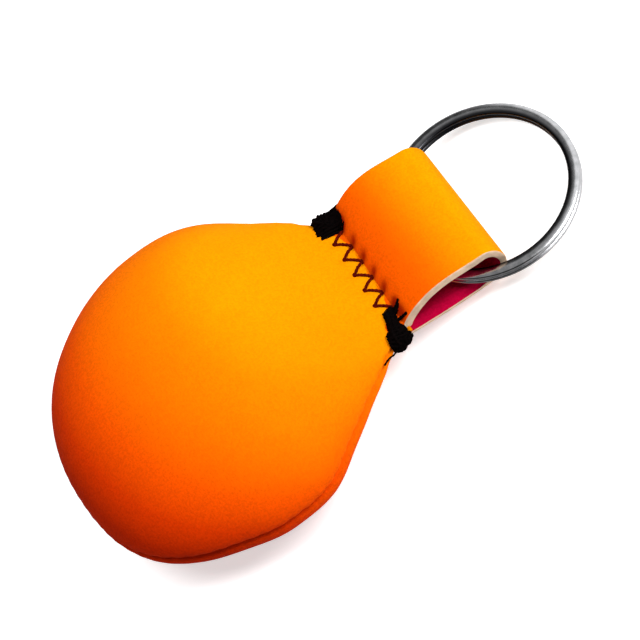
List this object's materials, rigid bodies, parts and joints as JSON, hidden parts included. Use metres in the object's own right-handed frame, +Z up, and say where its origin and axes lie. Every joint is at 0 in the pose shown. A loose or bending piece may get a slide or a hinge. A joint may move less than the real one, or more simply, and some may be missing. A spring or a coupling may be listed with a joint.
{
  "type": "floating keychain",
  "caption": "Floating keychain: a puffy foam-filled neoprene bulb whose folded strap loop, closed by a zigzag stitch, carries a steel split ring.",
  "frame": {"origin": "middle of the flat spot that the float rests on, on the floor", "axes": "+X from the float towards the split ring, +Y to the strap's shorter edge, +Z up through the front face"},
  "size_m": [0.09, 0.0552, 0.0206],
  "materials": {
    "neoprene": "matte",
    "core_foam": "matte",
    "black_thread": "satin",
    "steel": "polished"
  },
  "bodies": {
    "float": {"neoprene_cover": "neoprene", "foam_core": "core_foam", "seam_thread": "black_thread", "zigzag_thread_front": "black_thread", "zigzag_thread_back": "black_thread", "bartack_left": "black_thread", "bartack_right": "black_thread"},
    "ring": {"split_ring": "steel"}
  },
  "joints": [
    {"name": "ring_turn", "type": "hinge", "parent": "float", "child": "ring", "pos_m": [0.04787, 0.00022, 0.00373], "axis": [0.1851, 0, 0.9827], "continuous": true}
  ]
}
